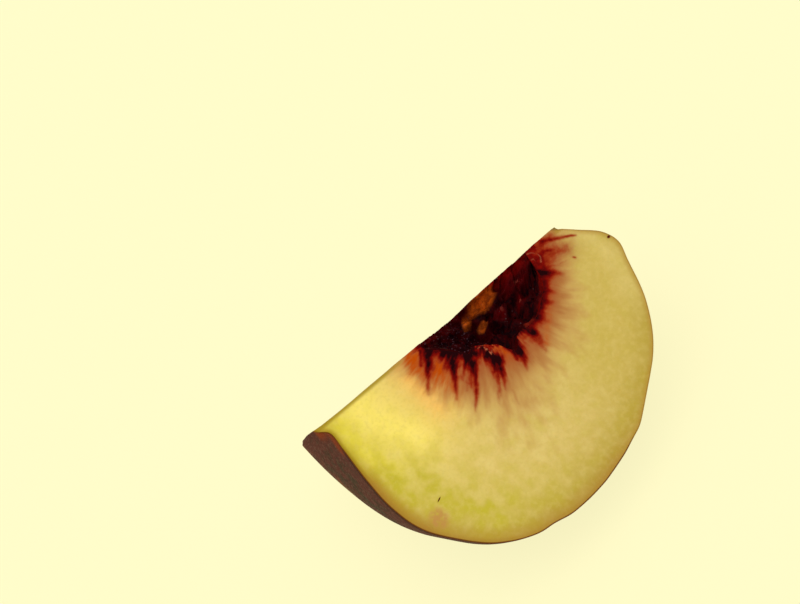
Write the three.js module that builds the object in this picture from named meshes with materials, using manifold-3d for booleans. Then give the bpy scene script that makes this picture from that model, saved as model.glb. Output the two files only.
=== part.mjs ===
// Quarter of a peach: a wedge cut from stem to blossom end, with the stone taken out.
//
// Units are millimetres, +Z is up. The fruit is shaped first in its own frame, where +X runs
// along the core towards the stem and the two cuts are the planes y = 0 and z = 0. It is then
// turned to the way the wedge lies: on its skin, the core edge on top and nearly level.

import * as THREE from 'three';
import { mergeVertices } from 'three/addons/utils/BufferGeometryUtils.js';
import Module from 'manifold-3d';

const wasm = await Module();
wasm.setup();

// Half outline of the fruit on a cut through the core: [along the core, out from the core].
// It runs from the blossom tip over the cheek to the floor of the stem cavity.
const FRUIT_OUTLINE = [
  [-31.8, 0.0], [-31.0, 1.2], [-29.6, 2.5], [-29.6, 6.0], [-29.9, 12.5], [-29.7, 18.5],
  [-28.2, 24.2], [-24.8, 29.2], [-20.2, 34.0], [-14.3, 37.2], [-4.6, 38.9], [8.3, 36.6],
  [19.6, 30.1], [24.9, 25.2], [28.6, 19.2], [30.7, 12.4], [31.6, 9.0], [30.4, 5.8],
  [27.3, 3.0], [24.9, 0.9], [24.0, 0.0],
];
const BUMPS = [                    // swellings and dents of the cheek by the first cut
  { along: -10.0, height: -0.35, width: 2.2 },
  { along: 13.0, height: 0.5, width: 2.4 },
];
const BUMP_SPREAD = 4;             // the higher, the sooner the bumps fade away from that cut
const OUTLINE_STEPS = 58;          // facets from the blossom tip to the stem cavity
const FRUIT_RADIUS = Math.max(...FRUIT_OUTLINE.map(([, out]) => out));
const ROUND_STEPS = 96;            // facets round the whole fruit, a quarter of them on the wedge
const MID_SHRINK = 0.04;           // the cheek between the cuts lies this share nearer the core
const SHOULDER_DROP = 4.2;         // how much lower the stem end's shoulder is on the second cut
const SHOULDER_FROM = 12.0;        // the drop starts here along the core ...
const SHOULDER_TOP = 31.0;         // ... and is whole here
const SHOULDER_CORE = 5.0;         // it fades out within this distance of the core

// Half outline of the hollow that the stone leaves, in the same form as the fruit's.
const HOLLOW_OUTLINE = [
  [-8.2, 0.0], [-6.9, 2.6], [-4.0, 5.0], [-0.6, 7.4], [3.6, 10.2], [7.6, 10.8],
  [12.4, 9.5], [15.9, 6.9], [18.6, 3.6], [19.4, 0.0],
];
const HOLLOW_STEPS = 30;           // facets along the hollow
const HOLLOW_ROUND_STEPS = 88;     // facets round the whole hollow
const FURROWS = [                  // waves round the hollow: how many, how deep, phase, twist
  { count: 9, depth: 0.07, phase: 0.6, twist: 0.05 },
  { count: 23, depth: 0.045, phase: 2.1, twist: -0.16 },
];
const PITS = { pitch: 3.7, depth: 0.05 };   // waves along the hollow, their length and depth

// How the wedge lies.
const REST_ROLL = 43.0;            // turn about the core, from the first cut facing straight up
const REST_PITCH = 8.0;            // the stem end tips down by this
const FLAT_DEPTH = 0.6;            // how much of the skin the flat resting spot takes off

const CUT_BOX = 120;               // side of the blocks that cut the fruit, larger than the fruit
const DEGREE = Math.PI / 180;

function outlinePoints(outline, steps) {
  const curve = new THREE.CatmullRomCurve3(
    outline.map(([along, out]) => new THREE.Vector3(out, along, 0)), false, 'centripetal');
  return curve.getSpacedPoints(steps).map((p) => new THREE.Vector2(Math.max(p.x, 0), p.y));
}

// A closed body of revolution about X. warp(x, radius, angle) gives the factor of each point's
// radius and its shift along X; the angle is 0 on the first cut, a right angle on the second.
function roundBody(outline, steps, roundSteps, warp) {
  const points = outlinePoints(outline, steps);
  points[0].x = 0;
  points[steps].x = 0;
  const geometry = new THREE.LatheGeometry(points, roundSteps);
  geometry.rotateZ(-Math.PI / 2);
  const position = geometry.attributes.position;
  for (let i = 0; i < position.count; i++) {
    const radius = Math.hypot(position.getY(i), position.getZ(i));
    const angle = Math.atan2(-position.getZ(i), -position.getY(i));
    const { factor, shift } = warp(position.getX(i), radius, angle);
    position.setX(i, position.getX(i) + shift);
    position.setY(i, position.getY(i) * factor);
    position.setZ(i, position.getZ(i) * factor);
  }
  return solid(geometry);
}

function solid(geometry) {
  const bare = geometry.clone();
  bare.deleteAttribute('normal');
  bare.deleteAttribute('uv');
  const merged = mergeVertices(bare, 1e-5);
  const index = merged.index.array;
  const triangles = [];
  for (let i = 0; i < index.length; i += 3) {
    const [a, b, c] = [index[i], index[i + 1], index[i + 2]];
    if (a !== b && b !== c && c !== a) triangles.push(a, b, c);
  }
  return new wasm.Manifold(new wasm.Mesh({
    numProp: 3,
    vertProperties: new Float32Array(merged.attributes.position.array),
    triVerts: new Uint32Array(triangles),
  }));
}

function block(centre) {
  const geometry = new THREE.BoxGeometry(CUT_BOX, CUT_BOX, CUT_BOX);
  geometry.translate(centre.x, centre.y, centre.z);
  return solid(geometry);
}

function bufferGeometry(body) {
  const mesh = body.getMesh();
  const geometry = new THREE.BufferGeometry();
  geometry.setAttribute('position', new THREE.BufferAttribute(mesh.vertProperties, 3));
  geometry.setIndex(new THREE.BufferAttribute(mesh.triVerts, 1));
  return geometry;
}

function fruit() {
  const { smoothstep } = THREE.MathUtils;
  const warp = (x, radius, angle) => {
    const share = smoothstep(x, SHOULDER_FROM, SHOULDER_TOP) * smoothstep(radius, 0, SHOULDER_CORE);
    let height = 0;
    for (const bump of BUMPS) {
      height += bump.height * Math.exp(-(((x - bump.along) / bump.width) ** 2));
    }
    height *= smoothstep(radius, 0, FRUIT_RADIUS) * Math.abs(Math.cos(angle)) ** BUMP_SPREAD;
    return {
      factor: 1 - MID_SHRINK * Math.sin(2 * angle) + height / FRUIT_RADIUS,
      shift: -SHOULDER_DROP * share * Math.sin(angle) ** 2,
    };
  };
  return roundBody(FRUIT_OUTLINE, OUTLINE_STEPS, ROUND_STEPS, warp);
}

function stoneHollow() {
  const warp = (x, radius, angle) => {
    let wave = 0;
    for (const { count, depth, phase, twist } of FURROWS) {
      wave += depth * Math.sin(count * angle + phase + twist * x);
    }
    const along = 2 * Math.PI * x / PITS.pitch;
    wave += PITS.depth * Math.sin(along + 2 * Math.sin(3 * angle));
    return { factor: 1 + wave, shift: 0 };
  };
  return roundBody(HOLLOW_OUTLINE, HOLLOW_STEPS, HOLLOW_ROUND_STEPS, warp);
}

// The quarter on the negative side of both cuts, without the hollow, in the fruit's frame.
function wedge() {
  const quarter = block(new THREE.Vector3(0, -CUT_BOX / 2, -CUT_BOX / 2));
  return fruit().intersect(quarter).subtract(stoneHollow());
}

// Lays the wedge down, takes off the flat resting spot and puts the origin under its middle.
function laidDown(body) {
  const lying = bufferGeometry(body);
  lying.rotateX(REST_ROLL * DEGREE);
  lying.rotateY(REST_PITCH * DEGREE);
  lying.computeBoundingBox();
  const floor = lying.boundingBox.min.z + FLAT_DEPTH;
  const below = block(new THREE.Vector3(0, 0, floor - CUT_BOX / 2));
  const cut = bufferGeometry(lyingSolid(lying).subtract(below));
  cut.computeBoundingBox();
  const { min, max } = cut.boundingBox;
  cut.translate(-(min.x + max.x) / 2, -(min.y + max.y) / 2, -min.z);
  return cut;
}

function lyingSolid(geometry) {
  return new wasm.Manifold(new wasm.Mesh({
    numProp: 3,
    vertProperties: geometry.attributes.position.array,
    triVerts: geometry.index.array,
  }));
}

const flesh = new THREE.MeshStandardMaterial({ color: 0xd9c463, roughness: 0.45, metalness: 0 });
const peachWedge = new THREE.Mesh(laidDown(wedge()), flesh);
peachWedge.name = 'peach_wedge';

const part = new THREE.Group();
part.add(peachWedge);

export default part;
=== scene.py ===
"""Looks of the peach wedge: a quarter of a peach with its stone taken out, lying on its skin.

Shapes are worked out in millimetres in the fruit's own frame, where +X runs along the core
towards the stem and the two cuts are the planes z = 0 (the first cut, which faces the camera)
and y = 0 (the second). They are then turned and moved to where the CAD wedge lies, in metres.
A place on a cut is given as (along the core, out from the core).
"""

import math

import bpy
import numpy as np
from mathutils import Matrix, Vector
from mathutils.bvhtree import BVHTree


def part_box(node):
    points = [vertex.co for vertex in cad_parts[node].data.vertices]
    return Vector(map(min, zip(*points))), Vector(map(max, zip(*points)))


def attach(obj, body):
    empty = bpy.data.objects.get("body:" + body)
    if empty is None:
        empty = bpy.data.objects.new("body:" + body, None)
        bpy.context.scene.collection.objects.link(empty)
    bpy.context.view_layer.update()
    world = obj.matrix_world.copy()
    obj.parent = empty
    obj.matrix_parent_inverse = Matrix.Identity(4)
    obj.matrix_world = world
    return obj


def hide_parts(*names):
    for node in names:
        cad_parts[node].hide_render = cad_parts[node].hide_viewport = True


NODE = "peach_wedge"
MM = 0.001

# ---- Sizes of the fruit, the same as the CAD wedge's

# Half outline of the fruit on a cut through the core.
FRUIT_OUTLINE = [
    (-31.8, 0.0), (-31.0, 1.2), (-29.6, 2.5), (-29.6, 6.0), (-29.9, 12.5), (-29.7, 18.5),
    (-28.2, 24.2), (-24.8, 29.2), (-20.2, 34.0), (-14.3, 37.2), (-4.6, 38.9), (8.3, 36.6),
    (19.6, 30.1), (24.9, 25.2), (28.6, 19.2), (30.7, 12.4), (31.6, 9.0), (30.4, 5.8),
    (27.3, 3.0), (24.9, 0.9), (24.0, 0.0),
]
FRUIT_RADIUS = max(out for _, out in FRUIT_OUTLINE)
BUMPS = [(-10.0, -0.35, 2.2), (13.0, 0.5, 2.4)]   # along the core, height, width
BUMP_SPREAD = 4                        # the higher, the sooner they fade away from the first cut
MID_SHRINK = 0.04                      # the cheek between the cuts lies this share nearer the core
SHOULDER_DROP = 4.2                    # how much lower the stem's shoulder is on the second cut:
SHOULDER_FROM, SHOULDER_TOP = 12.0, 31.0   # from where to where along the core this grows,
SHOULDER_CORE = 5.0                    # and how near the core it fades out

# Half outline of the hollow that the stone leaves.
HOLLOW_OUTLINE = [
    (-8.2, 0.0), (-6.9, 2.6), (-4.0, 5.0), (-0.6, 7.4), (3.6, 10.2), (7.6, 10.8),
    (12.4, 9.5), (15.9, 6.9), (18.6, 3.6), (19.4, 0.0),
]
FURROWS = [(9, 0.07, 0.6, 0.05), (23, 0.045, 2.1, -0.16)]   # count, depth, phase, twist
PIT_PITCH, PIT_DEPTH = 3.7, 0.05

# How the wedge lies, as in the CAD part.
REST_ROLL = math.radians(43.0)
REST_PITCH = math.radians(8.0)
FLAT_DEPTH = 0.6                       # how much of the skin the flat resting spot takes off

# ---- Finer shape, which only the looks have

CUT_FINE, CUT_COARSE = 0.2, 0.4        # grid of the cut faces, fine round the hollow
FINE_ALONG, FINE_OUT = (-14.0, 28.0), 17.0   # where it is fine: along the core, and out from it
SKIN_STEP = 0.55                       # grid of the skin
HOLLOW_STEP, HOLLOW_RADIUS = 0.2, 8.0  # grid of the hollow, and the radius that it is meant for
FINE_TURN = (-4.0, 94.0)               # bodies are fine between these degrees round the core ...
COARSE_TURN = 6.0                      # ... and go in steps of this many elsewhere
CURVE_POINTS = 24                      # points worked out from one of an outline's to the next
NOISE_LUMPS, NOISE_SHIFT = 32, 0.37    # lumps after which noise repeats, and its shift for each seed
CUT_REACH_X = 40.0                     # the cutting block's half length along the core
CUT_REACH = 46.0                       # how far its fine faces reach out from the core
CUT_BACK = 60.0                        # where its plain back faces lie
EDGE_ROUND, EDGE_POINTS = 0.3, 4       # rounding of the core edge, and the points on it
SECOND_FADE = (-2.6, -EDGE_ROUND)      # where the second cut's shape fades out on the first,
FIRST_FADE = (-1.0, -0.2)              # and the first's on the second
CUT_WAVES = [(9.0, 0.14, 11), (2.4, 0.04, 12)]   # lump size, height, seed of the knife's waves
FIRST_WAVES = 100.0                    # the first cut's waves are those of places this far off
SKIN_WAVES = [(7.0, 0.12, 21), (2.0, 0.03, 22)]
SKIN_CALM = (0.5, 6.0)                 # the skin's waves start between these distances from the core
# How much shorter the ends are than the CAD's at the core, and how far out from it.
TIP_BLUNT, TIP_RADIUS = 0.2, 1.6
STEM_BLUNT, STEM_RADIUS = 0.6, 1.2
CORNER_ROUND = 0.5                     # rounding of the skin's edge on the second cut ...
CORNER_FROM = (6.0, 14.0)              # ... which starts between these distances from the core
CORNER_FADE = (-22.0, -12.0)           # and ends between these places along it
CORNER_ALONG, CORNER_IN = 0.8, 0.5     # shares of it that go along the core and in towards it
FLANK_DENT = (-25.0, 4.0, 0.75)        # dent between the cuts: place along the core, width, depth
# How far the second cut dips inwards: place along the core and depth.
DIP = [(-31.8, 0.4), (-29.5, 0.65), (-25.0, 0.75), (-9.0, 0.7), (4.0, 0.4), (14.0, 0.0), (20.0, 0.12)]
CURL = 0.75                            # how far its far corner at the blossom end stands up again,
CURL_ALONG, CURL_OUT = (-27.0, -29.4), 14.0    # from where to where, and how far out it is whole
CELLS, CELL_SEED = 150, 41             # pits that the stone's furrowed shell leaves
CELL_MARGIN = 0.2                      # how far they go on beyond the cuts, in radians
CELL_LENGTH = 2.0                      # how long they are along the core, for a width of 1
CELL_CORE = 2.0                        # nearer the core they grow no narrower
CELL_WALL, CELL_WALL_WIDTH = 0.85, 0.55   # height and width of the walls between them
CELL_FLOOR = 0.3                       # how far outside the smooth wall their floors lie
TORN = [(1.1, 0.22, 31), (0.5, 0.1, 32)]         # torn flesh on the hollow's wall
TORN_RIM = 0.5                         # the share of it on the rim
WALL_CALM = (0.5, 5.0)                 # pits and torn flesh start between these distances from the core
LEAST_RADIUS = 0.02                    # keeps the hollow open up to its ends

# The hollow's torn rim on the first cut. It turns into the pitted wall within RIM_FADE.
RIM = [
    (-7.6, 0.0), (-7.3, 2.0), (-6.4, 3.0), (-5.1, 4.1), (-3.8, 5.5), (-2.9, 6.3), (-2.2, 7.2),
    (-0.9, 6.8), (0.6, 7.5), (1.7, 8.4), (2.8, 9.3), (3.7, 10.9), (4.6, 11.9), (5.5, 11.4),
    (6.1, 10.4), (7.6, 9.8), (9.0, 10.1), (10.5, 10.0), (12.0, 9.4), (14.0, 8.0), (15.6, 6.8),
    (16.5, 5.0), (16.9, 2.8), (17.1, 0.0),
]
RIM_FADE = math.radians(24.0)

# ---- Marks on the cuts

# Each stroke is its line, then its half width and its strength, both from its start to its end.
HOLLOW_CENTRE = (5.6, 0.0)             # where the rays start that the streaks follow
RED_STROKES = [
    # along the hollow's rim
    (RIM[:3], (0.5, 0.4), (0.8, 0.5)),
    (RIM[3:7], (0.6, 0.7), (0.8, 1.0)),
    (RIM[6:16], (0.3, 0.3), (0.7, 0.6)),
    (RIM[15:20], (1.0, 0.9), (0.75, 0.7)),
    (RIM[18:], (1.0, 0.8), (0.55, 0.65)),
    ([(17.9, 0.2), (18.2, 2.5), (17.8, 5.2)], (1.2, 1.1), (0.5, 0.55)),
    # left end of the hollow
    ([(-7.3, 0.9), (-8.4, 2.7)], (0.7, 0.5), (0.75, 0.55)),
    ([(-8.9, 1.6), (-10.1, 3.7)], (0.45, 0.25), (0.7, 0.4)),
    ([(-6.2, 1.0), (-7.6, 2.7)], (1.0, 0.9), (1.2, 1.0)),
    ([(-7.6, 2.7), (-8.9, 4.3)], (0.95, 0.75), (1.05, 0.85)),
    ([(-8.9, 4.3), (-10.5, 6.1), (-12.0, 7.9)], (0.75, 0.45), (0.8, 0.2)),
    ([(-6.2, 2.3), (-5.5, 3.7)], (0.5, 0.5), (1.0, 0.8)),
    # the three long streaks below it
    ([(-3.8, 3.1), (-4.6, 5.1)], (1.3, 1.2), (1.3, 1.15)),
    ([(-4.6, 5.1), (-5.6, 7.0)], (1.1, 0.75), (1.1, 0.9)),
    ([(-5.5, 7.0), (-7.3, 9.5), (-9.5, 12.2)], (0.6, 0.35), (1.0, 0.2)),
    ([(-4.9, 4.6), (-6.9, 7.0)], (0.5, 0.4), (0.75, 0.25)),
    ([(-3.3, 5.7), (-3.6, 7.0)], (0.6, 0.5), (0.9, 0.6)),
    ([(-3.5, 7.3), (-5.0, 9.2)], (0.4, 0.3), (0.5, 0.3)),
    ([(-5.6, 9.3), (-5.7, 11.0), (-6.9, 12.1)], (0.4, 0.25), (0.3, 0.25)),
    ([(-1.3, 5.3), (-2.7, 7.3)], (0.9, 0.8), (1.25, 1.15)),
    ([(-2.6, 7.4), (-3.3, 9.3)], (0.8, 0.55), (1.15, 0.95)),
    ([(-3.0, 9.3), (-5.1, 12.4), (-7.6, 15.0)], (0.6, 0.3), (1.15, 0.15)),
    ([(-3.6, 9.2), (-5.9, 12.0)], (0.5, 0.3), (0.55, 0.3)),
    ([(-1.5, 7.6), (0.3, 9.3)], (1.2, 0.9), (1.0, 0.9)),
    ([(0.4, 9.3), (0.9, 11.1)], (0.6, 0.85), (1.15, 1.15)),
    ([(0.4, 10.9), (-0.7, 12.0), (-1.8, 13.3)], (0.8, 0.4), (1.0, 0.2)),
    ([(1.0, 11.2), (-0.3, 14.1), (-1.3, 15.7)], (0.7, 0.25), (1.1, 0.25)),
    ([(0.1, 12.2), (-1.6, 14.4), (-3.8, 16.7)], (0.6, 0.35), (0.6, 0.15)),
    ([(-0.4, 16.4), (-1.1, 18.7)], (0.25, 0.2), (0.15, 0.1)),
    # lower right of the hollow
    ([(6.8, 8.7), (4.9, 10.8)], (0.8, 0.8), (1.25, 1.25)),
    ([(4.9, 10.8), (4.9, 12.3)], (0.9, 0.8), (1.1, 0.95)),
    ([(4.5, 11.5), (3.6, 13.1)], (0.5, 0.35), (0.8, 0.4)),
    ([(5.1, 12.2), (4.4, 14.1), (3.7, 15.5)], (0.8, 0.35), (0.95, 0.15)),
    ([(8.1, 9.3), (8.9, 11.5)], (0.8, 0.85), (1.0, 0.8)),
    ([(8.9, 11.5), (8.8, 13.4), (8.6, 15.2)], (0.85, 0.7), (0.7, 0.2)),
    # right side of the hollow
    ([(16.8, 5.6), (14.3, 8.3)], (1.0, 1.0), (0.5, 0.5)),
    ([(15.2, 6.9), (16.6, 8.6)], (0.9, 0.6), (0.75, 0.3)),
    ([(13.0, 8.3), (15.0, 9.7)], (1.0, 0.7), (0.7, 0.3)),
    ([(11.0, 9.8), (12.4, 11.7)], (1.0, 0.6), (0.8, 0.25)),
    ([(16.5, 4.3), (18.4, 5.7), (20.0, 7.2)], (0.9, 0.4), (1.25, 0.2)),
    # stem side
    ([(19.8, 2.1), (21.5, 2.9)], (0.4, 0.3), (0.55, 0.4)),
    ([(20.6, 3.0), (23.3, 4.2)], (1.7, 1.5), (0.42, 0.28)),
    ([(19.3, 0.7), (22.8, 0.8)], (1.0, 0.8), (0.55, 0.25)),
    ([(18.7, 2.5), (19.3, 3.9)], (1.0, 0.6), (0.55, 0.25)),
    ([(20.9, 0.5), (23.8, 2.1), (25.5, 2.9), (26.4, 3.5)], (0.5, 0.18), (0.6, 0.35)),
    ([(23.4, 6.1), (23.6, 6.3)], (0.2, 0.2), (0.35, 0.35)),
]
AMBER_STROKES = [
    ([(-9.6, 0.3), (-11.0, 2.6)], (1.2, 1.5), (0.85, 1.05)),
    ([(-10.9, 4.6), (-12.2, 6.8)], (1.2, 1.2), (0.7, 0.45)),
    ([(-6.2, 3.6), (-7.6, 5.8)], (0.8, 1.2), (1.0, 1.1)),
    ([(-8.2, 5.8), (-10.0, 8.6)], (1.8, 1.6), (0.8, 0.5)),
    ([(-8.0, 9.0), (-9.3, 12.8)], (1.7, 1.5), (0.65, 0.35)),
    ([(2.7, 9.0), (2.9, 11.2)], (1.0, 0.9), (1.1, 1.1)),
    ([(2.8, 11.8), (2.2, 13.5)], (0.9, 0.8), (0.6, 0.3)),
    ([(9.5, 14.2), (12.8, 11.3), (16.0, 8.1)], (0.8, 0.7), (0.5, 0.35)),
]
LIP_STROKES = [  # pale flesh that stands out of the red
    ([(-0.5, 7.2), (0.4, 8.4), (1.0, 9.3)], (0.12, 0.18), (0.6, 0.9)),
    ([(1.1, 9.3), (1.2, 10.2)], (0.2, 0.15), (0.6, 0.4)),
    ([(7.3, 9.6), (6.0, 11.6)], (0.35, 0.5), (0.4, 0.35)),
    ([(17.4, 0.6), (18.1, 0.9), (18.5, 1.5)], (0.2, 0.12), (0.62, 0.5)),
    ([(18.7, 1.7), (18.9, 2.4), (18.3, 3.2)], (0.13, 0.18), (0.55, 0.7)),
    ([(17.1, 1.8), (17.7, 2.0), (17.6, 2.7)], (0.18, 0.14), (0.55, 0.4)),
    ([(19.2, 0.8), (19.9, 1.6)], (0.15, 0.12), (0.5, 0.3)),
    ([(12.8, 6.7), (14.2, 8.2)], (0.2, 0.15), (0.4, 0.2)),
    ([(-1.4, 7.2), (-0.3, 8.1)], (0.1, 0.1), (0.45, 0.2)),
    ([(-2.1, 8.0), (-1.0, 8.8)], (0.1, 0.1), (0.45, 0.2)),
]
# Streaks drawn by chance: fine faint ones among the red ones, and those of the second cut.
FIBRES = dict(count=60, seed=61, lengths=(1.5, 6.0), widths=(0.12, 0.3), strengths=(0.08, 0.25))
BACK_STREAKS = dict(count=17, seed=51, lengths=(3.0, 8.0), widths=(0.5, 1.0), strengths=(0.7, 1.1))
BACK_RIM = [(HOLLOW_OUTLINE, (0.9, 0.9), (0.9, 0.9))]     # the red of the rim there
FAN_FROM, FAN_TURN = 4.0, 172.0        # degrees where their fan begins, and that it takes up
FAN_PLACE = (0.1, 0.9)                 # where each may lie in its share of the fan
FAN_REACH, FAN_RIM = 12.5, 0.85        # they start within this reach, at this share of the outline,
FAN_LEAN, FAN_BEND = (-0.3, 0.1), 0.5  # lean towards the blossom end, bend by this at most,
FAN_TAPER, FAN_FADE = 3.0, 0.1         # and end with a third of their width and this strength
FRAY_SIZE, FRAY, FRAY_SEEDS = 0.8, 0.08, (71, 72)   # how the streaks' outlines waver ...
FEATHER_SIZE, FEATHER_LENGTH, FEATHER, FEATHER_SEED = 0.5, 3.0, 0.8, 73   # ... and split into fibres,
SOFT_ALONG, SOFT_SHARE = (6.0, 11.0), 0.85   # the less so towards the stem
STROKE_FALL = 1.1                      # how fast a stroke fades beyond its width
HALO_REACH = 1.6                       # how far the halo reaches: a share of the colours' own reach
HALO_BELOW = (1.2, -4.0, 6.0)          # and more below the hollow: share, middle and spread along it,
HALO_OUT = (4.0, 10.0)                 # from the first to the second distance from the core
HALO_LESS = 0.5                        # it shrinks by this towards either end, between these places
HALO_TIP, HALO_STEM = (-9.0, -15.0), (16.0, 23.0)

# Zones of the flesh's colours, in the same form as the strokes. The yellow and tan zones are partly
# painted light and shade, and the first pale stroke is a painted highlight.
ZONES = {
    # lighter flesh towards the blossom end: partly its own colour, partly painted light
    "yellow": [([(-23.0, 3.0), (-18.5, 12.0)], (5.5, 4.5), (1.0, 1.0))],
    "warm": [([(-12.6, 4.0), (-12.0, 10.5)], (2.2, 2.4), (1.0, 1.0))],
    "lime": [([(-27.6, 3.0), (-27.4, 8.0), (-25.2, 14.5)], (2.2, 2.4), (1.0, 0.9))],
    "green": [
        ([(-30.0, 3.0), (-29.7, 12.0)], (1.6, 1.7), (1.0, 1.0)),
        ([(-28.8, 14.0), (-28.0, 21.0)], (1.8, 2.0), (0.8, 0.8)),
        ([(-25.6, 14.5), (-23.2, 17.5)], (2.0, 3.2), (0.5, 0.75)),
        ([(-27.0, 16.5), (-23.0, 20.0), (-17.0, 30.0)], (4.0, 3.6), (1.0, 0.8)),
        ([(-17.0, 30.0), (-6.0, 33.0)], (3.6, 3.6), (0.7, 0.4)),
    ],
    "cloudy": [([(-24.0, 18.0), (-10.0, 27.0), (4.0, 28.0)], (8.0, 7.0), (1.0, 0.8))],
    # darker flesh towards the stem end: partly its own colour, partly painted shade
    "tan": [([(16.0, 22.0), (24.0, 15.0), (26.0, 9.0)], (8.0, 7.0), (1.0, 1.0))],
    "pale": [
        # painted highlight at the stem end of the core
        ([(25.0, 0.5), (27.0, 2.0)], (1.6, 1.6), (1.0, 1.0)),
        ([(28.0, 5.0), (29.2, 11.0), (27.6, 17.0)], (2.0, 2.0), (0.45, 0.4)),
    ],
    "brown": [
        ([(-29.4, 14.0), (-28.6, 19.0), (-26.8, 24.0)], (2.6, 2.6), (1.0, 0.9)),
        ([(-27.0, 25.0), (-14.0, 36.0), (4.0, 38.0)], (3.0, 6.0), (0.6, 0.7)),
    ],
}
BRUISE_SPOT = ((-24.6, 24.9), (2.2, 2.6))  # place and size
SPECKS = [  # place, size and turn
    ((-22.5, 22.5), (0.7, 0.16), math.radians(158)),
    ((30.7, 7.3), (0.45, 0.35), 0.0),
]

# Radii at which turns count as places: round the hollow's middle on a cut, round the core in the
# hollow, and over and round the fruit.
RAY_RADIUS, WALL_RADIUS, MERIDIAN = 14.0, 9.0, 33.0
SECOND_CUT = 60.0                      # third coordinate of the second cut's places; the first's is 0

# ---- Camera and light

FRAME_WIDTH, FRAME_HEIGHT = 800, 604
SENSOR = 36.0
LENS = 115.0
VIEW_TILT = math.radians(18.0)         # the camera stands this far round from square on the cut
VIEW_DISTANCE = 430.0
VIEW_POINT = Vector((0.0, -18.0, 0.0)) # a place in the fruit's frame, and the pixel where it shows
VIEW_PIXEL = (519.9, 394.6)
CORE_TURN = math.atan2(0.6498, 0.7601) # how the core slopes up to the right in the picture

SUN_FROM = Vector((-0.19, -0.31, 0.95))    # in the world
SUN_POWER, SUN_SPREAD = 1.75, math.radians(60.0)
SKY_POWER, SKY_COLOUR = 0.62, (1.0, 0.985, 0.95, 1.0)
FLOOR_SIZE = 6.0                       # in metres
FLOOR_COLOUR = (0.91, 0.868, 0.526, 1.0)   # linear
FLOOR_GLOW = 0.86                      # share of its brightness that is its own, as on a light table
FLOOR_LIGHT = 1.13                     # how bright the lights make a white floor


# ---- Arithmetic

def smoothstep(value, low, high):
    share = np.clip((np.asarray(value, float) - low) / (high - low), 0.0, 1.0)
    return share * share * (3.0 - 2.0 * share)


def noise(points, size, seed):
    """Smooth noise between about -1 and 1 at the points (n, 3), with lumps of the given size."""
    values = np.random.default_rng(seed).uniform(-1.0, 1.0, (NOISE_LUMPS, NOISE_LUMPS, NOISE_LUMPS))
    scaled = points / size + NOISE_SHIFT * seed
    cell = np.floor(scaled).astype(int)
    part = scaled - cell
    part = part * part * (3.0 - 2.0 * part)
    total = np.zeros(len(points))
    for corner in np.ndindex(2, 2, 2):
        weight = np.ones(len(points))
        for axis, side in enumerate(corner):
            weight *= part[:, axis] if side else 1.0 - part[:, axis]
        index = (cell + corner) % NOISE_LUMPS
        total += weight * values[index[:, 0], index[:, 1], index[:, 2]]
    return total


def waves(points, layers):
    """The noises of all layers added up, each layer with its lump size, height and seed."""
    return sum(height * noise(points, size, seed) for size, height, seed in layers)


def smooth_outline(points, step):
    """The centripetal Catmull-Rom curve through the points, in equal steps of about step mm."""
    points = np.array(points, float)
    first = 2 * points[0] - points[1]
    last = 2 * points[-1] - points[-2]
    points = np.vstack([first, points, last])
    shares = np.linspace(0.0, 1.0, CURVE_POINTS, endpoint=False)[:, None]
    pieces = []
    for i in range(1, len(points) - 2):
        a, b, c, d = points[i - 1:i + 3]
        before, middle, after = (math.sqrt(np.linalg.norm(q - p)) for p, q in ((a, b), (b, c), (c, d)))
        leave = ((b - a) / before - (c - a) / (before + middle) + (c - b) / middle) * middle
        arrive = ((c - b) / middle - (d - b) / (middle + after) + (d - c) / after) * middle
        square, cube = shares ** 2, shares ** 3
        pieces.append(b + leave * shares + (3 * (c - b) - 2 * leave - arrive) * square
                      + (2 * (b - c) + leave + arrive) * cube)
    curve = np.vstack(pieces + [points[-2][None]])
    length = np.concatenate([[0.0], np.cumsum(np.linalg.norm(np.diff(curve, axis=0), axis=1))])
    at = np.linspace(0.0, length[-1], round(length[-1] / step) + 1)
    result = np.stack([np.interp(at, length, curve[:, k]) for k in (0, 1)], axis=1)
    result[:, 1] = np.maximum(result[:, 1], 0.0)
    result[[0, -1], 1] = 0.0
    return result


def stroke_strength(places, strokes):
    """Strength at each place (n, 2) of the strokes there. Where they overlap, their squares add up."""
    total = np.zeros(len(places))
    for line, (thick, thin), (strong, weak) in strokes:
        line = np.array(line, float)
        lengths = np.linalg.norm(np.diff(line, axis=0), axis=1)
        passed = np.concatenate([[0.0], np.cumsum(lengths)]) / lengths.sum()
        strength = np.zeros(len(places))
        for i, length in enumerate(lengths):
            step = (line[i + 1] - line[i]) / length
            along = np.clip((places - line[i]) @ step, 0.0, length)
            away = np.linalg.norm(places - line[i] - along[:, None] * step, axis=1)
            share = passed[i] + (passed[i + 1] - passed[i]) * along / length
            reach = thick + (thin - thick) * share
            fade = (1.0 + (away / reach) ** 2) ** -STROKE_FALL
            strength = np.maximum(strength, (strong + (weak - strong) * share) * fade)
        total += strength ** 2
    return np.sqrt(total)


# ---- Shape, in millimetres in the fruit's frame

SKIN, FLESH, HOLLOW = 0, 1, 2          # material slots
HOLLOW_LINE = smooth_outline(HOLLOW_OUTLINE, HOLLOW_STEP).T
RIM_LINE = smooth_outline(RIM, HOLLOW_STEP).T


def new_mesh(name, vertices, faces, slot):
    mesh = bpy.data.meshes.new(name)
    mesh.from_pydata([tuple(v) for v in vertices], [], faces)
    mesh.update()
    for material in MATERIALS:
        mesh.materials.append(material)
    mesh.polygons.foreach_set("material_index", [slot] * len(faces))
    thing = bpy.data.objects.new(name, mesh)
    bpy.context.collection.objects.link(thing)
    return thing


def boolean(target, tool, operation):
    modifier = target.modifiers.new("cut", "BOOLEAN")
    modifier.operation = operation
    modifier.solver = "MANIFOLD"
    modifier.object = tool
    bpy.context.view_layer.objects.active = target
    bpy.ops.object.modifier_apply(modifier=modifier.name)
    bpy.data.meshes.remove(tool.data)


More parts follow.
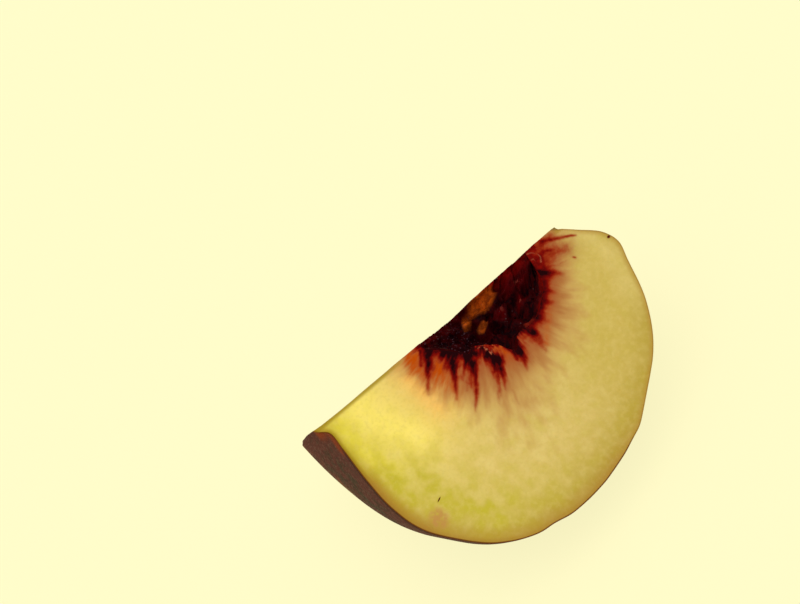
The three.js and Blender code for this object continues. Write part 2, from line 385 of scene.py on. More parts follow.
def round_angles(step):
    """Angles round the core: fine over the wedge and a little beyond it, coarse elsewhere."""
    fine = np.arange(*FINE_TURN, math.degrees(step))
    coarse = np.arange(FINE_TURN[1], 360.0 + FINE_TURN[0], COARSE_TURN)
    return np.radians(np.concatenate([fine, coarse]))


def round_body(name, outline, angles, warp, slot):
    """A closed body round the core. warp(x, radius, angle) gives each point's new x and radius."""
    ring = outline[1:-1]
    x, angle = np.meshgrid(ring[:, 0], angles, indexing="ij")
    radius = np.broadcast_to(ring[:, 1][:, None], x.shape)
    x, radius = warp(x, radius, angle)
    rings = around(x, radius, angle)
    tips, _ = warp(outline[[0, -1], 0], np.zeros(2), np.zeros(2))
    vertices = np.vstack([rings, [[tip, 0, 0] for tip in tips]])
    rows, columns = x.shape
    start, end = rows * columns, rows * columns + 1
    faces = []
    for j in range(columns):
        k = (j + 1) % columns
        faces.append((start, k, j))
        faces.append((end, (rows - 1) * columns + j, (rows - 1) * columns + k))
        for i in range(rows - 1):
            here, above = i * columns, (i + 1) * columns
            faces.append((here + j, here + k, above + k, above + j))
    return new_mesh(name, vertices, faces, slot)


def around(x, radius, angle):
    """Points round the core. The angle is 0 on the first cut and a right angle on the second."""
    return np.stack([x.ravel(), (-radius * np.cos(angle)).ravel(), (-radius * np.sin(angle)).ravel()], 1)


def fruit_warp(x, radius, angle):
    share = smoothstep(x, SHOULDER_FROM, SHOULDER_TOP) * smoothstep(radius, 0, SHOULDER_CORE)
    height = sum(h * np.exp(-((x - along) / width) ** 2) for along, h, width in BUMPS)
    height = height * smoothstep(radius, 0, FRUIT_RADIUS) * np.abs(np.cos(angle)) ** BUMP_SPREAD
    middle, width, depth = FLANK_DENT
    dent = depth * np.exp(-((x - middle) / width) ** 2) * np.clip(np.sin(2 * angle), 0.0, 1.0)
    factor = 1 - MID_SHRINK * np.sin(2 * angle) + (height - dent) / FRUIT_RADIUS
    moved = x - SHOULDER_DROP * share * np.sin(angle) ** 2
    lumps = waves(around(x, radius, angle), SKIN_WAVES).reshape(x.shape)
    inside = np.clip(CORNER_ROUND - (math.pi / 2 - angle) * radius, 0.0, CORNER_ROUND)
    inside *= smoothstep(radius, *CORNER_FROM) * (1 - smoothstep(x, *CORNER_FADE)) * (angle < math.pi)
    drawn_in = CORNER_ROUND - np.sqrt(CORNER_ROUND ** 2 - inside ** 2)
    blunt = TIP_BLUNT * (1 - smoothstep(radius, 0.0, TIP_RADIUS)) * (x < 0)
    blunt = blunt - STEM_BLUNT * (1 - smoothstep(radius, 0.0, STEM_RADIUS)) * (x > 0)
    moved = moved + CORNER_ALONG * drawn_in + blunt
    return moved, radius * factor + lumps * smoothstep(radius, *SKIN_CALM) - CORNER_IN * drawn_in


def cell_walls(x, radius, angle):
    """Height of the walls between the pits: 1 on a wall, 0 in a pit, in long cells."""
    rng = np.random.default_rng(CELL_SEED)
    along = rng.uniform(HOLLOW_OUTLINE[0][0], HOLLOW_OUTLINE[-1][0], CELLS)
    turn = rng.uniform(-CELL_MARGIN, math.pi / 2 + CELL_MARGIN, CELLS)
    squeeze = np.array([1 / CELL_LENGTH, 1.0])
    here = np.stack([x.ravel(), angle.ravel() * np.maximum(radius.ravel(), CELL_CORE)], 1) * squeeze
    reach = np.interp(along, *HOLLOW_LINE)
    there = np.stack([along, turn * np.maximum(reach, CELL_CORE)], 1) * squeeze
    apart = np.linalg.norm(here[:, None, :] - there[None, :, :], axis=2)
    apart.partition(1, axis=1)
    return (1 - smoothstep(apart[:, 1] - apart[:, 0], 0.0, CELL_WALL_WIDTH)).reshape(x.shape)


def hollow_warp(x, radius, angle):
    wave = sum(d * np.sin(n * angle + phase + twist * x) for n, d, phase, twist in FURROWS)
    wave = wave + PIT_DEPTH * np.sin(2 * math.pi * x / PIT_PITCH + 2 * np.sin(3 * angle))
    deep = smoothstep(radius, *WALL_CALM)
    torn = waves(around(x, radius, angle), TORN).reshape(x.shape)
    walls = CELL_WALL * cell_walls(x, radius, angle) - CELL_FLOOR
    wall = radius * (1 + wave) - deep * walls + deep * torn
    rim = np.interp(x, *RIM_LINE) + TORN_RIM * deep * torn
    share = 1 - smoothstep(np.abs(angle), 0.0, RIM_FADE)
    return x, np.maximum(wall + share * (rim - wall), LEAST_RADIUS)


def grid_lines(low, high, fine_low, fine_high):
    """Lines from low to high, in fine steps between fine_low and fine_high."""
    parts = [(low, fine_low, CUT_COARSE), (fine_low, fine_high, CUT_FINE), (fine_high, high, CUT_COARSE)]
    lines = [np.linspace(a, b, round((b - a) / step), endpoint=False) for a, b, step in parts if b > a]
    return np.concatenate(lines + [[high]])


def cutting_block():
    """The block whose two uneven fine faces make the cuts; they meet in the core edge."""
    out = grid_lines(EDGE_ROUND, CUT_REACH, EDGE_ROUND, FINE_OUT)[:0:-1]
    turn = np.linspace(0, math.pi / 2, EDGE_POINTS)
    corner = [(EDGE_ROUND * (math.cos(t) - 1), EDGE_ROUND * (math.sin(t) - 1)) for t in turn]
    section = [(0.0, -d) for d in out] + corner + [(-d, 0.0) for d in out[::-1]]
    section += [(-CUT_BACK, 0.0), (-CUT_BACK, -CUT_BACK), (0.0, -CUT_BACK)]
    section = np.array(section)
    along = grid_lines(-CUT_REACH_X, CUT_REACH_X, *FINE_ALONG)
    rows, columns = len(along), len(section)
    points = np.zeros((rows, columns, 3))
    points[:, :, 0] = along[:, None]
    points[:, :, 1:] = section[None]
    flat = points.reshape(-1, 3)
    second = smoothstep(section[:, 0], *SECOND_FADE)[None]     # 1 on the second cut
    first = smoothstep(section[:, 1], *FIRST_FADE)[None]       # 1 on the first cut
    dip = np.interp(along, *np.transpose(DIP))[:, None]
    curl = CURL * smoothstep(along, *CURL_ALONG)[:, None] * smoothstep(-section[:, 1], 0.0, CURL_OUT)
    points[:, :, 1] += second * (waves(flat, CUT_WAVES).reshape(rows, columns) - dip + curl)
    points[:, :, 2] += first * waves(flat + FIRST_WAVES, CUT_WAVES).reshape(rows, columns)
    faces = []
    for i in range(rows - 1):
        here, above = i * columns, (i + 1) * columns
        for j in range(columns):
            k = (j + 1) % columns
            faces.append((here + j, here + k, above + k, above + j))
    faces.append(tuple(range(columns - 1, -1, -1)))
    faces.append(tuple((rows - 1) * columns + j for j in range(columns)))
    return new_mesh("cutting_block", points.reshape(-1, 3), faces, FLESH)


def wedge():
    fruit = round_body("peach_slice", smooth_outline(FRUIT_OUTLINE, SKIN_STEP),
                       round_angles(SKIN_STEP / FRUIT_RADIUS), fruit_warp, SKIN)
    boolean(fruit, cutting_block(), "INTERSECT")
    hollow = round_body("hollow", HOLLOW_LINE.T, round_angles(HOLLOW_STEP / HOLLOW_RADIUS),
                        hollow_warp, HOLLOW)
    boolean(fruit, hollow, "DIFFERENCE")
    return fruit


def vertex_places(mesh):
    places = np.zeros(len(mesh.vertices) * 3, np.float32)
    mesh.vertices.foreach_get("co", places)
    return places.reshape(-1, 3).astype(float)


def soften(mesh):
    """Smooth shading that breaks where one surface meets another."""
    mesh.shade_smooth()
    slots = np.zeros(len(mesh.polygons), np.int32)
    mesh.polygons.foreach_get("material_index", slots)
    loop_edges = np.zeros(len(mesh.loops), np.int32)
    mesh.loops.foreach_get("edge_index", loop_edges)
    totals = np.zeros(len(mesh.polygons), np.int32)
    mesh.polygons.foreach_get("loop_total", totals)
    loop_slots = np.repeat(slots, totals)
    low = np.full(len(mesh.edges), len(MATERIALS))
    high = np.full(len(mesh.edges), -1)
    np.minimum.at(low, loop_edges, loop_slots)
    np.maximum.at(high, loop_edges, loop_slots)
    sharp = mesh.attributes.new("sharp_edge", "BOOLEAN", "EDGE")
    sharp.data.foreach_set("value", low != high)


def lay_down(thing):
    """Turns the wedge as the CAD part lies, flattens its resting spot and puts it in its place.

    Gives the matrix that takes the fruit's frame to the world.
    """
    turn = Matrix.Rotation(REST_PITCH, 3, "Y") @ Matrix.Rotation(REST_ROLL, 3, "X")
    places = vertex_places(thing.data) @ np.array(turn).T
    places[:, 2] = np.maximum(places[:, 2], places[:, 2].min() + FLAT_DEPTH)
    low, high = places.min(0), places.max(0)
    cad_low, cad_high = (np.array(corner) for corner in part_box(NODE))
    move = (cad_low + cad_high) / 2 - MM * (low + high) / 2
    move[2] = cad_low[2] - MM * low[2]
    thing.data.vertices.foreach_set("co", (places * MM + move).ravel())
    thing.data.update()
    return Matrix.Translation(move) @ turn.to_4x4() @ Matrix.Scale(MM, 4)


# ---- What the materials read from the mesh

def store(mesh, name, values):
    kind, field = ("FLOAT_VECTOR", "vector") if values.ndim == 2 else ("FLOAT", "value")
    attribute = mesh.attributes.new(name, kind, "POINT")
    attribute.data.foreach_set(field, values.astype(np.float32).ravel())


def distance_to(mesh, places, slot):
    """How far each place is from the surface that has the material slot."""
    faces = [tuple(p.vertices) for p in mesh.polygons if p.material_index == slot]
    tree = BVHTree.FromPolygons([tuple(p) for p in places], faces)
    nearest = [tree.find_nearest(tuple(p)) for p in places]
    return np.array([distance for _, _, _, distance in nearest])


def chance_strokes(count, seed, lengths, widths, strengths):
    """Streaks that fan out from the hollow's rim, drawn by chance between the given limits."""
    rng = np.random.default_rng(seed)
    strokes = []
    for i in range(count):
        turn = math.radians(FAN_FROM + FAN_TURN * (i + rng.uniform(*FAN_PLACE)) / count)
        along = HOLLOW_CENTRE[0] - math.cos(turn) * FAN_REACH
        rim = np.array([along, np.interp(along, *HOLLOW_LINE) * FAN_RIM])
        away = np.array([-math.cos(turn), math.sin(turn)]) + FAN_LEAN
        away = away / np.linalg.norm(away)
        length = rng.uniform(*lengths)
        bend = np.array([-away[1], away[0]]) * rng.uniform(-FAN_BEND, FAN_BEND)
        line = [tuple(rim), tuple(rim + away * length / 2 + bend), tuple(rim + away * length)]
        width = rng.uniform(*widths)
        strokes.append((line, (width, width / FAN_TAPER), (rng.uniform(*strengths), FAN_FADE)))
    return strokes


def halo_reach(x, out, first):
    """How far the halo reaches at each place, as a share of the colours' own reach."""
    share, middle, spread = HALO_BELOW
    below = np.where(first, share, 0.0) * np.exp(-((x - middle) / spread) ** 2)
    less = HALO_LESS * (smoothstep(x, *HALO_TIP) + smoothstep(x, *HALO_STEM))
    return HALO_REACH - less + below * smoothstep(out, *HALO_OUT)


def store_streaks(mesh, places, cut, rays, first):
    """Strength of the red, amber and pale strokes at each place, with frayed outlines."""
    waver = np.stack([noise(places, FRAY_SIZE, seed) for seed in FRAY_SEEDS], 1)
    fibre = noise(rays * (FEATHER_SIZE / FEATHER_LENGTH, 1.0, 1.0), FEATHER_SIZE, FEATHER_SEED)
    hardness = 1 - SOFT_SHARE * smoothstep(cut[:, 0], *SOFT_ALONG)
    fibre *= FEATHER * hardness / np.maximum(rays[:, 0], 1.0)
    frayed = cut + FRAY * waver + fibre[:, None] * (cut - HOLLOW_CENTRE)
    fibres = chance_strokes(**FIBRES)
    back = chance_strokes(**BACK_STREAKS) + fibres + BACK_RIM
    store(mesh, "red", np.where(first, stroke_strength(frayed, RED_STROKES + fibres),
                                stroke_strength(frayed, back)))
    for name, strokes in (("amber", AMBER_STROKES), ("lip", LIP_STROKES)):
        store(mesh, name, np.where(first, stroke_strength(frayed, strokes), 0.0))


def store_marks(mesh):
    """Stores each vertex's places and distances, and the strength of the streaks and zones there."""
    places = vertex_places(mesh)
    x, y, z = places.T
    out = np.hypot(y, z)
    first = z > y                          # on the first cut, where a place is on a cut
    side = np.where(first, 0.0, SECOND_CUT)
    cut = np.stack([x, out], 1)
    away = cut - HOLLOW_CENTRE
    distance = np.linalg.norm(away, axis=1)
    rays = np.stack([distance, np.arctan2(away[:, 1], away[:, 0]) * RAY_RADIUS, side], 1)
    turn = np.arctan2(-z, -y)
    over = np.arctan2(out, -x)
    store(mesh, "fruit", places)
    store(mesh, "cut_place", np.stack([x, out, side], 1))
    store(mesh, "rays", rays)
    store(mesh, "wall_place", np.stack([x, turn * WALL_RADIUS, np.zeros(len(x))], 1))
    store(mesh, "meridian", np.stack([over * MERIDIAN, turn * MERIDIAN, np.zeros(len(x))], 1))
    from_hollow = distance_to(mesh, places, HOLLOW)
    store(mesh, "from_hollow", from_hollow)
    store(mesh, "halo", from_hollow / halo_reach(x, out, first))
    store(mesh, "under_skin", distance_to(mesh, places, SKIN))
    store(mesh, "from_cuts", distance_to(mesh, places, FLESH))
    store_streaks(mesh, places, cut, rays, first)
    for name, strokes in ZONES.items():
        store(mesh, name, np.minimum(stroke_strength(cut, strokes), 1.0))


# ---- Materials

def colour(red, green, blue):
    """Linear colour of an sRGB colour given as 0 to 255."""
    shares = [level / 255 for level in (red, green, blue)]
    linear = [c / 12.92 if c <= 0.04045 else ((c + 0.055) / 1.055) ** 2.4 for c in shares]
    return (*linear, 1.0)


VECTORS = ("fruit", "cut_place", "rays", "meridian", "wall_place")     # the rest are numbers


class Shader:
    """Adds nodes to one material. Each call gives the socket that the next ones read."""

    def __init__(self, name):
        self.material = bpy.data.materials.new(name)
        self.material.use_nodes = True
        self.tree = self.material.node_tree
        self.tree.nodes.clear()

    def node(self, kind, inputs, **settings):
        node = self.tree.nodes.new("ShaderNode" + kind)
        for name, value in settings.items():
            setattr(node, name, value)
        for key, value in inputs.items():
            if isinstance(value, bpy.types.NodeSocket):
                self.tree.links.new(value, node.inputs[key])
            else:
                node.inputs[key].default_value = value
        return node

    def read(self, name):
        node = self.node("Attribute", {}, attribute_name=name)
        return node.outputs["Vector" if name in VECTORS else "Fac"]

    def noise(self, place, size, detail, stretch=(1.0, 1.0, 1.0), roughness=0.5):
        scale = tuple(1.0 / (size * length) for length in stretch)
        scaled = self.node("VectorMath", {0: place, 1: scale}, operation="MULTIPLY").outputs["Vector"]
        inputs = {"Vector": scaled, "Scale": 1.0, "Detail": detail, "Roughness": roughness}
        return self.node("TexNoise", inputs).outputs["Fac"]

    def cells(self, place, size):
        """How far each place is from the middle of its cell."""
        return self.node("TexVoronoi", {"Vector": place, "Scale": 1.0 / size}).outputs["Distance"]

    def span(self, value, low, high, to_low=0.0, to_high=1.0):
        """Goes smoothly from to_low, where the value is low, to to_high, where it is high."""
        inputs = {"Value": value, "From Min": low, "From Max": high, "To Min": to_low, "To Max": to_high}
        return self.node("MapRange", inputs, interpolation_type="SMOOTHSTEP").outputs["Result"]

    def separate(self, vector, axis):
        return self.node("SeparateXYZ", {0: vector}).outputs[axis]

    def math(self, operation, a, b, clamp=False):
        return self.node("Math", {0: a, 1: b}, operation=operation, use_clamp=clamp).outputs["Value"]

    def times(self, a, b):
        return self.math("MULTIPLY", a, b)

    def mix(self, share, a, b):
        """Colour b over colour a. 6, 7 and 2 are the node's sockets for colours."""
        return self.node("Mix", {0: share, 6: a, 7: b}, data_type="RGBA").outputs[2]

    def layers(self, tint, *layers):
        """Lays each layer, a share and its colour, over the tint and the layers before it."""
        for share, over in layers:
            tint = self.mix(share, tint, over)
        return tint

    def spot(self, place, centre, size, turn=0.0):
        """1 in the middle of an oval, falling to 0 at its edge, and 0 on the second cut."""
        offset = self.node("VectorMath", {0: place, 1: (*centre, 0.0)}, operation="SUBTRACT").outputs[0]
        inputs = {"Vector": offset, "Angle": -turn}
        turned = self.node("VectorRotate", inputs, rotation_type="Z_AXIS").outputs[0]
        scale = (1.0 / size[0], 1.0 / size[1], 1.0)
        oval = self.node("VectorMath", {0: turned, 1: scale}, operation="MULTIPLY").outputs["Vector"]
        away = self.node("VectorMath", {0: oval}, operation="LENGTH").outputs["Value"]
        return self.span(away, 1.0, 0.4)

    def bump(self, height, strength, distance, under=None):
        inputs = {"Height": height, "Strength": strength, "Distance": distance * MM}
        if under is not None:
            inputs["Normal"] = under
        return self.node("Bump", inputs).outputs["Normal"]

    def finish(self, **inputs):
        names = {key.replace("_", " "): value for key, value in inputs.items()}
        shader = self.node("BsdfPrincipled", names)
        self.node("OutputMaterial", {"Surface": shader.outputs["BSDF"]})
        return self.material


STRAW = colour(206, 180, 107)
YELLOW = colour(246, 226, 112)
LIME = colour(224, 208, 66)
WARM = colour(238, 186, 96)
GREEN = colour(186, 172, 52)
TAN = colour(190, 166, 81)
PALE = colour(224, 203, 128)
RIND = colour(172, 148, 60)
RIND_ORANGE = colour(168, 130, 54)
RIND_OLIVE = colour(150, 124, 26)
RIND_BROWN = colour(160, 116, 46)
EDGE_GREEN = colour(180, 160, 42)
SKIN_LINE = colour(96, 50, 14)
HALO_PALE = colour(184, 140, 78)
HALO = colour(160, 98, 50)
HALO_DEEP = colour(143, 62, 27)
FRINGE = colour(157, 85, 45)
AMBER = colour(176, 70, 2)
BROWN_RED = colour(148, 50, 18)
RED = colour(118, 8, 2)
DEEP_RED = colour(76, 3, 3)
BLACK_RED = colour(30, 2, 4)
LIP = colour(160, 86, 56)
BRUISE = colour(180, 128, 70)

# Each darker colour: where it starts, where it is whole, in the halo its most, and the colour.
HALO_LEVELS = [(7.0, 2.0, 0.9, HALO_PALE), (4.0, 1.0, 0.95, HALO), (1.6, 0.0, 1.0, HALO_DEEP)]
RED_LEVELS = [(0.18, 0.42, BROWN_RED), (0.32, 0.6, RED), (0.52, 0.85, DEEP_RED), (0.8, 1.1, BLACK_RED)]


def zone_colours(add, cloud, mottle, grain):
    """The flesh's yellow, green, tan and pale zones, clouds and mottles; yellow, tan and pale partly
    painted light.
    """
    under, near, green = add.read("under_skin"), add.read("from_hollow"), add.read("green")
    drift = add.noise(add.read("cut_place"), 7.0, detail=1.0)
    deep = add.times(add.span(near, 3.0, 12.0), add.span(add.read("cloudy"), 0.0, 0.8, 0.45, 1.0))
    return add.layers(
        add.mix(add.span(under, 1.0, 10.5), RIND, STRAW),
        # tan: partly painted shade
        (add.times(add.read("tan"), add.span(under, 0.5, 6.0, 0.3, 1.0)), TAN),
        # yellow: partly painted light
        (add.times(add.read("yellow"), add.span(drift, 0.2, 0.7, 0.85, 1.0)), YELLOW),
        (add.read("warm"), WARM),
        (add.times(add.read("lime"), add.span(cloud, 0.2, 0.6, 0.7, 0.95)), LIME),
        (add.times(green, add.span(cloud, 0.65, 0.35, 0.6, 1.0)), GREEN),
        # pale: its first stroke is a painted highlight at the stem end
        (add.read("pale"), PALE),
        (add.times(deep, add.span(cloud, 0.4, 0.85, 0.0, 0.34)), PALE),
        (add.times(deep, add.span(cloud, 0.6, 0.15, 0.0, 0.34)), GREEN),
        (add.span(mottle, 0.4, 0.7, 0.0, 0.14), PALE),
        (add.span(grain, 0.45, 0.7, 0.0, 0.12), RIND),
    )


def rind_colours(add, tint):
    """The darker flesh just under the skin and along the first cut's core edge."""
    cut, under, green = add.read("cut_place"), add.read("under_skin"), add.read("green")
    not_green = add.span(green, 0.3, 0.8, 1.0, 0.0)
    on_first = add.span(add.separate(cut, 2), SECOND_CUT / 2, SECOND_CUT / 12)
    return add.layers(
        tint,
        (add.times(green, add.span(under, 2.6, 0.2)), EDGE_GREEN),
        (add.times(add.span(under, 1.2, 0.0, 0.0, 0.7), not_green), RIND_ORANGE),
        (add.times(green, add.span(under, 1.0, 0.3)), RIND_OLIVE),
        (add.times(add.read("brown"), add.span(under, 3.4, 0.3, 0.0, 0.8)), RIND_BROWN),
        (add.times(add.span(add.separate(cut, 1), 1.6, 0.9, 0.0, 0.85), on_first), RIND_OLIVE),
    )


def streak_colours(add, tint, mottle):
    """The halo round the hollow, and the streaks in it."""
    rays = add.read("rays")
    fine_rays = add.noise(rays, 0.5, stretch=(5.0, 1.0, 1.0), detail=3.0)
    wide_rays = add.noise(rays, 1.6, stretch=(3.0, 1.0, 1.0), detail=2.0)
    spread = add.times(add.read("halo"), add.span(wide_rays, 0.3, 0.7, 1.25, 0.8))
    calm = add.span(add.separate(add.read("cut_place"), 0), 12.0, 8.0, 0.2, 1.0)
    rayed = add.times(add.span(fine_rays, 0.25, 0.75, -0.15, 0.15), calm)
    uneven = add.math("ADD", rayed, add.span(mottle, 0.3, 0.7, 0.82, 1.12))
    redness = add.times(add.read("red"), uneven)
    amber = add.times(add.read("amber"), add.span(fine_rays, 0.25, 0.75, 0.6, 1.2))
    return add.layers(
        tint,
        *[(add.span(spread, start, whole, 0.0, most), halo) for start, whole, most, halo in HALO_LEVELS],
        (add.span(redness, 0.0, 0.3, 0.0, 0.9), FRINGE),
        (add.span(amber, 0.0, 1.1), AMBER),
        *[(add.span(redness, start, whole), red) for start, whole, red in RED_LEVELS],
        (add.span(add.read("lip"), 0.25, 0.8), LIP),
    )


def single_marks(add, tint, mottle):
    """A bruise, two specks and the dark line of the skin."""
    cut = add.read("cut_place")
    dark_edge = add.span(add.math("MAXIMUM", add.read("brown"), add.read("green")), 0.1, 0.5, 0.3, 1.0)
    return add.layers(
        tint,
        (add.times(add.spot(cut, *BRUISE_SPOT), add.span(mottle, 0.35, 0.6, 0.3, 0.8)), BRUISE),
        *[(add.spot(cut, *speck), DEEP_RED) for speck in SPECKS],
        (add.times(add.span(add.read("under_skin"), 0.3, 0.1), dark_edge), SKIN_LINE),
    )


def flesh_material():
    add = Shader("flesh")
    cut = add.read("cut_place")
    cloud = add.noise(cut, 2.8, detail=1.0)
    mottle = add.noise(cut, 1.0, detail=2.0)
    grain = add.noise(add.read("fruit"), 0.6, detail=3.0)
    tint = zone_colours(add, cloud, mottle, grain)
    tint = rind_colours(add, tint)
    tint = streak_colours(add, tint, mottle)
    tint = single_marks(add, tint, mottle)
    rough = add.span(grain, 0.3, 0.7, 0.4, 0.55)
    normal = add.bump(cloud, 0.2, 0.3, add.bump(grain, 0.3, 0.1))
    return add.finish(Base_Color=tint, Roughness=rough, Normal=normal, Specular_IOR_Level=0.02,
                      Subsurface_Weight=0.1, Subsurface_Radius=(1.0, 0.6, 0.25),
                      Subsurface_Scale=1.0 * MM)


# Spots on the hollow's wall: place (along the core, round it), size, turn and strength.
AMBER_SPOTS = [
    ((8.8, 12.7), (4.0, 1.9), 0.15, 1.0),
    ((4.0, 11.5), (2.6, 1.0), 0.75, 0.9),
    ((5.6, 9.4), (1.5, 1.0), 0.0, 0.75),
]
CRIMSON_SPOTS = [
    ((9.6, 9.2), (1.6, 1.4), 0.0, 0.7),
    ((13.2, 7.5), (1.5, 1.3), 0.0, 0.8),
    ((15.5, 11.0), (4.0, 3.2), 0.0, 0.6),
    ((-5.0, 12.0), (2.5, 2.5), 0.0, 0.6),
]
RUSTY_SPOTS = [
    ((19.4, 7.5), (1.0, 7.5), 0.0, 1.0),
    ((10.2, 1.0), (1.8, 1.8), 0.0, 0.8),
    ((3.4, 0.8), (1.5, 1.4), 0.0, 0.8),
]
# painted highlights: pale pink glints on the hollow's wet wall
PAINTED_HIGHLIGHT_SPOTS = [
    ((15.0, 10.7), (0.55, 0.7), 0.0, 0.55),
    ((13.2, 7.5), (0.4, 0.4), 0.0, 0.8),
    ((10.1, 9.1), (0.45, 0.4), 0.0, 0.45),
]
WALL_AMBER = colour(170, 74, 14)
# pale pink of the painted highlights
PAINTED_HIGHLIGHT_PINK = colour(128, 52, 40)
WALL_RUST = colour(120, 30, 14)
CRIMSON = colour(86, 3, 5)
WALL_RED = colour(46, 2, 3)
BLACK_VIOLET = colour(18, 2, 4)
# grey violet of the painted glints on the beads
PAINTED_GLINT = colour(78, 52, 60)


def hollow_material():
    add = Shader("hollow")
    fruit, wall, depth = add.read("fruit"), add.read("wall_place"), add.read("from_cuts")
    along = add.separate(wall, 0)
    blotch = add.noise(wall, 1.7, detail=3.0)
    fibre = add.noise(fruit, 0.6, detail=3.0)
    fray = add.noise(fruit, 1.4, detail=3.0)
    beads = add.cells(fruit, 0.55)
    rim = add.times(add.span(depth, 2.6, 0.3), add.span(along, 7.0, 10.0, 0.2, 1.0))
    tint = add.layers(
        add.mix(add.span(blotch, 0.4, 0.65), BLACK_VIOLET, WALL_RED),
        (add.span(fibre, 0.5, 0.8, 0.0, 0.4), CRIMSON),
        (add.times(rim, add.span(fray, 0.3, 0.55, 0.2, 0.9)), RED),
    )
    # the last of these lists paints highlights on the wall
    for spots, spot_colour in ((CRIMSON_SPOTS, CRIMSON), (AMBER_SPOTS, WALL_AMBER),
                               (RUSTY_SPOTS, WALL_RUST), (PAINTED_HIGHLIGHT_SPOTS, PAINTED_HIGHLIGHT_PINK)):
        for centre, size, turn, strength in spots:
            torn = add.span(fray, 0.3, 0.6, 0.4 * strength, strength)
            tint = add.mix(add.times(add.spot(wall, centre, size, turn), torn), tint, spot_colour)
    tint = add.layers(
        tint,
        (add.span(fibre, 0.45, 0.7, 0.0, 0.35), WALL_RED),
        # painted glints on the beads, towards the blossom end of the hollow
        (add.times(add.span(beads, 0.32, 0.12), add.span(along, 4.0, 1.5, 0.0, 0.7)), PAINTED_GLINT),
    )
    rough = add.span(fibre, 0.35, 0.7, 0.25, 0.5)
    normal = add.bump(beads, 0.3, -0.15, add.bump(fibre, 0.4, 0.2))
    wet = add.times(add.span(beads, 0.2, 0.08), add.span(blotch, 0.5, 0.6, 0.0, 0.5))
    return add.finish(Base_Color=tint, Roughness=rough, Normal=normal, Specular_IOR_Level=0.01,
                      Coat_Weight=wet, Coat_Roughness=0.15)


BLOOM = colour(57, 45, 28)
MAROON = colour(84, 38, 30)
BLUSH = colour(54, 32, 24)
FUZZ = colour(124, 92, 78)
EDGE_BROWN = colour(46, 18, 6)
RUST = colour(130, 48, 2)
RUSSET = colour(134, 54, 14)
DARK_RUSSET = colour(84, 26, 14)
ORANGE = colour(176, 118, 34)
SKIN_YELLOW = colour(166, 150, 34)
CAVITY = colour(150, 126, 62)
# Each lighter colour of the blush: where it starts, where it is whole, and the colour.
BLUSH_LEVELS = [(0.36, 0.47, RUSSET), (0.44, 0.54, ORANGE), (0.5, 0.6, SKIN_YELLOW)]
# nearer the first cut and the tip the skin stays dark: partly its own maroon, partly painted shade
FAR_TURN = (19.0, 34.0)                # where round the fruit, and how far from its tip, the warm
FAR_TIP = (14.0, 26.0)                 # colours of the skin begin and are whole


def skin_material():
    add = Shader("skin")
    fruit, place, from_cuts = add.read("fruit"), add.read("meridian"), add.read("from_cuts")
    over, turn = add.separate(place, 0), add.separate(place, 1)
    patch = add.noise(place, 2.4, stretch=(1.0, 2.2, 1.0), detail=3.0)
    blush = add.noise(place, 15.0, stretch=(1.6, 1.0, 1.0), detail=3.0)
    stripes = add.noise(place, 1.2, stretch=(7.0, 1.0, 1.0), detail=3.0, roughness=0.6)
    fibre = add.noise(place, 0.5, stretch=(4.0, 1.0, 1.0), detail=2.0)
    fuzz = add.noise(fruit, 0.5, detail=4.0, roughness=0.6)

    near_cuts = add.span(from_cuts, 7.0, 2.0, 0.0, 0.6)
    maroon = add.math("ADD", add.span(patch, 0.32, 0.66), near_cuts, clamp=True)
    streaked = add.math("ADD", blush, add.span(stripes, 0.25, 0.75, 0.07, -0.07))
    streaked = add.math("ADD", streaked, add.span(fibre, 0.3, 0.7, 0.02, -0.02))
    warm = add.layers(
        DARK_RUSSET,
        *[(add.span(streaked, start, whole), lighter) for start, whole, lighter in BLUSH_LEVELS],
        (add.span(fuzz, 0.5, 0.7, 0.0, 0.35), RUSSET),
    )
    # warm colours only away from the first cut and tip; the dark skin nearer them is partly painted
    # shade
    far = add.times(add.span(turn, *FAR_TURN), add.span(over, *FAR_TIP))
    dark_edge = add.span(add.math("MAXIMUM", add.read("brown"), add.read("green")), 0.1, 0.5, 0.2, 0.95)
    dark_edge = add.times(dark_edge, add.span(over, 5.0, 8.0, 0.2, 1.0))
    dark_edge = add.times(dark_edge, add.span(turn, 40.0, 25.0, 0.2, 1.0))
    tint = add.layers(
        add.mix(maroon, BLOOM, MAROON),
        (add.span(stripes, 0.45, 0.65, 0.0, 0.25), BLUSH),
        (add.times(far, add.span(patch, 0.3, 0.6, 0.7, 1.0)), warm),
        (add.span(over, 88.0, 97.0, 0.0, 0.85), CAVITY),
        (add.span(fibre, 0.5, 0.75, 0.0, 0.25), FUZZ),
        (add.span(fuzz, 0.52, 0.7, 0.0, 0.45), FUZZ),
        (add.span(fuzz, 0.48, 0.34, 0.0, 0.6), BLUSH),
        (add.times(add.span(from_cuts, 3.2, 0.8), add.span(over, 8.5, 6.5, 0.0, 0.85)), RUST),
        (add.times(add.span(from_cuts, 1.1, 0.4), dark_edge), EDGE_BROWN),
    )
    normal = add.bump(fuzz, 0.5, 0.1, add.bump(fibre, 0.4, 0.15))
    return add.finish(Base_Color=tint, Roughness=0.72, Normal=normal, Specular_IOR_Level=0.04,
                      Sheen_Weight=0.03, Sheen_Roughness=0.5, Sheen_Tint=colour(200, 180, 160))


# ---- Floor, light and camera

def add_floor():
    half = FLOOR_SIZE / 2
    mesh = bpy.data.meshes.new("floor")
    corners = [(-half, -half, 0), (half, -half, 0), (half, half, 0), (-half, half, 0)]
    mesh.from_pydata(corners, [], [(0, 1, 2, 3)])
    add = Shader("floor")
    shade = tuple(c * (1 - FLOOR_GLOW) for c in FLOOR_COLOUR[:3]) + (1.0,)
    glow = FLOOR_GLOW * FLOOR_LIGHT
    mesh.materials.append(add.finish(Base_Color=shade, Roughness=0.9, Specular_IOR_Level=0.0,
                                     Emission_Color=FLOOR_COLOUR, Emission_Strength=glow))
    floor = bpy.data.objects.new("floor", mesh)
    bpy.context.collection.objects.link(floor)


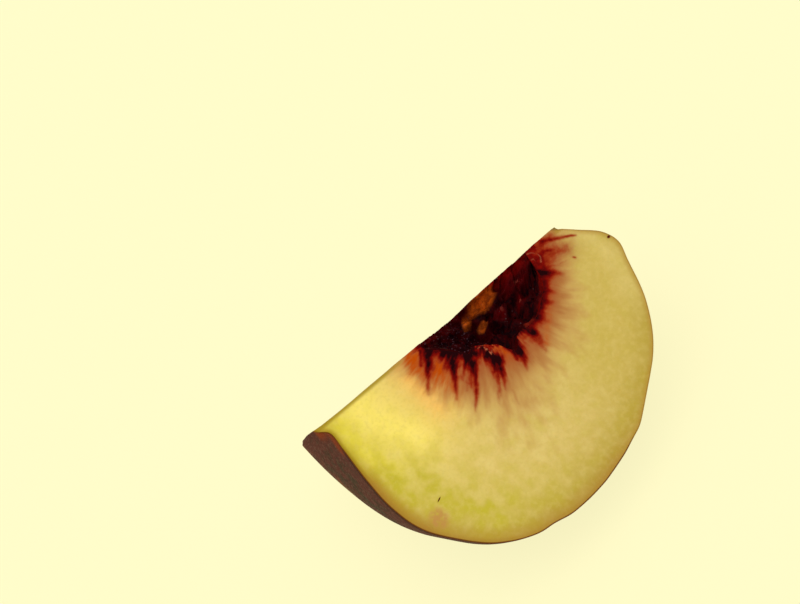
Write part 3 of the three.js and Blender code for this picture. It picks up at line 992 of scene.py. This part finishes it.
def add_lights():
    world = bpy.data.worlds.new("studio")
    world.use_nodes = True
    sky = world.node_tree.nodes["Background"]
    sky.inputs["Color"].default_value = SKY_COLOUR
    sky.inputs["Strength"].default_value = SKY_POWER
    bpy.context.scene.world = world
    light = bpy.data.lights.new("sun", "SUN")
    light.energy = SUN_POWER
    light.angle = SUN_SPREAD
    sun = bpy.data.objects.new("sun", light)
    sun.rotation_euler = SUN_FROM.to_track_quat("Z", "Y").to_euler()
    bpy.context.collection.objects.link(sun)


def add_camera(placed):
    """The camera stands by the wedge's own frame, which placed turns into the world's."""
    back = Vector((-math.sin(VIEW_TILT), 0.0, math.cos(VIEW_TILT)))
    core = Vector((1.0, 0.0, 0.0))
    core = (core - back * core.dot(back)).normalized()
    across = back.cross(core)
    right = core * math.cos(CORE_TURN) - across * math.sin(CORE_TURN)
    up = core * math.sin(CORE_TURN) + across * math.cos(CORE_TURN)
    square = Matrix((right, up, back)).transposed()
    pixels = LENS * FRAME_WIDTH / SENSOR
    aside = Vector((VIEW_PIXEL[0] - FRAME_WIDTH / 2, FRAME_HEIGHT / 2 - VIEW_PIXEL[1], -pixels))
    turn = aside.rotation_difference(Vector((0.0, 0.0, -1.0))).to_matrix()
    facing = placed.to_3x3().normalized() @ square @ turn
    data = bpy.data.cameras.new("camera")
    data.lens = LENS
    data.sensor_width = SENSOR
    camera = bpy.data.objects.new("camera", data)
    place = placed @ (VIEW_POINT + back * VIEW_DISTANCE)
    camera.matrix_world = Matrix.Translation(place) @ facing.to_4x4()
    bpy.context.collection.objects.link(camera)
    bpy.context.scene.camera = camera


# ---- The scene

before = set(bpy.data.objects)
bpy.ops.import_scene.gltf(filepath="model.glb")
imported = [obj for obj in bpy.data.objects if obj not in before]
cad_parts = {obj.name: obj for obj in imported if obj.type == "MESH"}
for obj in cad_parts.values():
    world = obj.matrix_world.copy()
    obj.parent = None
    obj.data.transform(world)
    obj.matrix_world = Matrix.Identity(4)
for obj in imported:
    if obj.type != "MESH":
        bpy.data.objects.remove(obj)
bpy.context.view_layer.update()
MATERIALS = [skin_material(), flesh_material(), hollow_material()]

peach_slice = wedge()
store_marks(peach_slice.data)
soften(peach_slice.data)
placed = lay_down(peach_slice)
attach(peach_slice, "root")
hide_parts(NODE)

add_floor()
add_lights()
add_camera(placed)
bpy.context.scene.view_settings.view_transform = "Standard"
